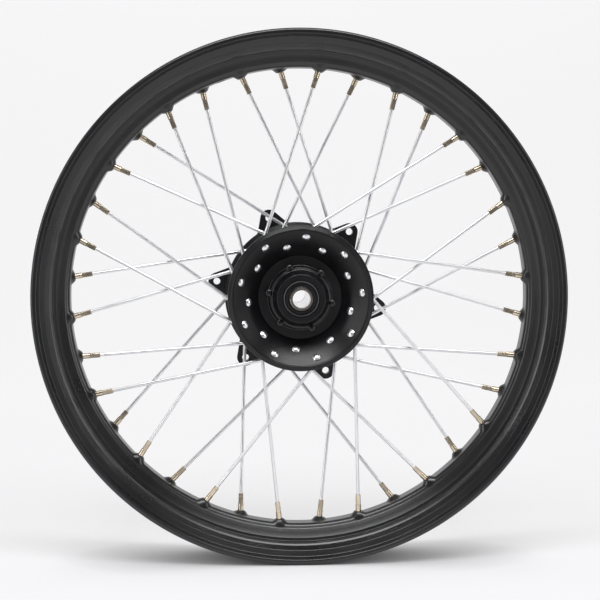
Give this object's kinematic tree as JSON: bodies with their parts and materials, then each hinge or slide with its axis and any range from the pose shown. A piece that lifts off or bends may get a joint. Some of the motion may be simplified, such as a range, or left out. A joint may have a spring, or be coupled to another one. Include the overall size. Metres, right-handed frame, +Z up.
{
  "type": "spoked motorcycle front wheel",
  "caption": "Wire-spoked motorcycle front wheel without tyre: drop-centre rim, laced flanged hub with disc lugs, sealed ball bearings and axle spacers.",
  "frame": {"origin": "centre of the wheel: on the spin axis, halfway between the two rim flanges", "axes": "+Y along the spin axis towards the brake disc side, +Z up, +X to the right seen from the plain side"},
  "size_m": [0.512, 0.0968, 0.512],
  "materials": {
    "rim_paint": "satin black powder coat on rolled aluminium",
    "hub_paint": "satin black paint on cast aluminium",
    "spoke_steel": "bright zinc-plated steel wire",
    "nipple_plate": "nickel plate over brass, champagne tint",
    "seal_rubber": "moulded nitrile rubber",
    "spacer_steel": "turned steel",
    "tube_alloy": "plain drawn tube",
    "bearing_steel": "ground bearing steel",
    "cage_polymer": "moulded polyamide"
  },
  "bodies": {
    "axle_core": {"distance_tube": "tube_alloy", "plain_spacer": "spacer_steel", "disc_spacer": "spacer_steel", "plain_bearing_inner_race": "bearing_steel", "disc_bearing_inner_race": "bearing_steel"},
    "wheel": {"rim": "rim_paint", "hub_body": "hub_paint", "plain_inner_spoke_1": "spoke_steel", "plain_inner_spoke_2": "spoke_steel", "plain_inner_spoke_3": "spoke_steel", "plain_inner_spoke_4": "spoke_steel", "plain_inner_spoke_5": "spoke_steel", "plain_inner_spoke_6": "spoke_steel", "plain_inner_spoke_7": "spoke_steel", "plain_inner_spoke_8": "spoke_steel", "plain_inner_spoke_9": "spoke_steel", "plain_outer_spoke_1": "spoke_steel", "plain_outer_spoke_2": "spoke_steel", "plain_outer_spoke_3": "spoke_steel", "plain_outer_spoke_4": "spoke_steel", "plain_outer_spoke_5": "spoke_steel", "plain_outer_spoke_6": "spoke_steel", "plain_outer_spoke_7": "spoke_steel", "plain_outer_spoke_8": "spoke_steel", "plain_outer_spoke_9": "spoke_steel", "disc_inner_spoke_1": "spoke_steel", "disc_inner_spoke_2": "spoke_steel", "disc_inner_spoke_3": "spoke_steel", "disc_inner_spoke_4": "spoke_steel", "disc_inner_spoke_5": "spoke_steel", "disc_inner_spoke_6": "spoke_steel", "disc_inner_spoke_7": "spoke_steel", "disc_inner_spoke_8": "spoke_steel", "disc_inner_spoke_9": "spoke_steel", "disc_outer_spoke_1": "spoke_steel", "disc_outer_spoke_2": "spoke_steel", "disc_outer_spoke_3": "spoke_steel", "disc_outer_spoke_4": "spoke_steel", "disc_outer_spoke_5": "spoke_steel", "disc_outer_spoke_6": "spoke_steel", "disc_outer_spoke_7": "spoke_steel", "disc_outer_spoke_8": "spoke_steel", "disc_outer_spoke_9": "spoke_steel", "plain_inner_nipples": "nipple_plate", "plain_outer_nipples": "nipple_plate", "disc_inner_nipples": "nipple_plate", "disc_outer_nipples": "nipple_plate", "plain_bearing_outer_race": "bearing_steel", "disc_bearing_outer_race": "bearing_steel", "plain_seal": "seal_rubber", "disc_seal": "seal_rubber"},
    "plain_cage": {"plain_bearing_balls": "bearing_steel", "plain_bearing_cage": "cage_polymer"},
    "disc_cage": {"disc_bearing_balls": "bearing_steel", "disc_bearing_cage": "cage_polymer"}
  },
  "joints": [
    {"name": "wheel_spin", "type": "hinge", "parent": "axle_core", "child": "wheel", "pos_m": [0, 0, 0], "axis": [0, 1, 0], "continuous": true},
    {"name": "plain_cage_spin", "type": "hinge", "parent": "axle_core", "child": "plain_cage", "pos_m": [0, -0.0215, 0], "axis": [0, 1, 0], "continuous": true},
    {"name": "disc_cage_spin", "type": "hinge", "parent": "axle_core", "child": "disc_cage", "pos_m": [0, 0.037, 0], "axis": [0, 1, 0], "continuous": true}
  ],
  "couplings": [
    {"joint": "plain_cage_spin", "follows": "wheel_spin", "ratio": 0.59154},
    {"joint": "disc_cage_spin", "follows": "wheel_spin", "ratio": 0.59154}
  ]
}
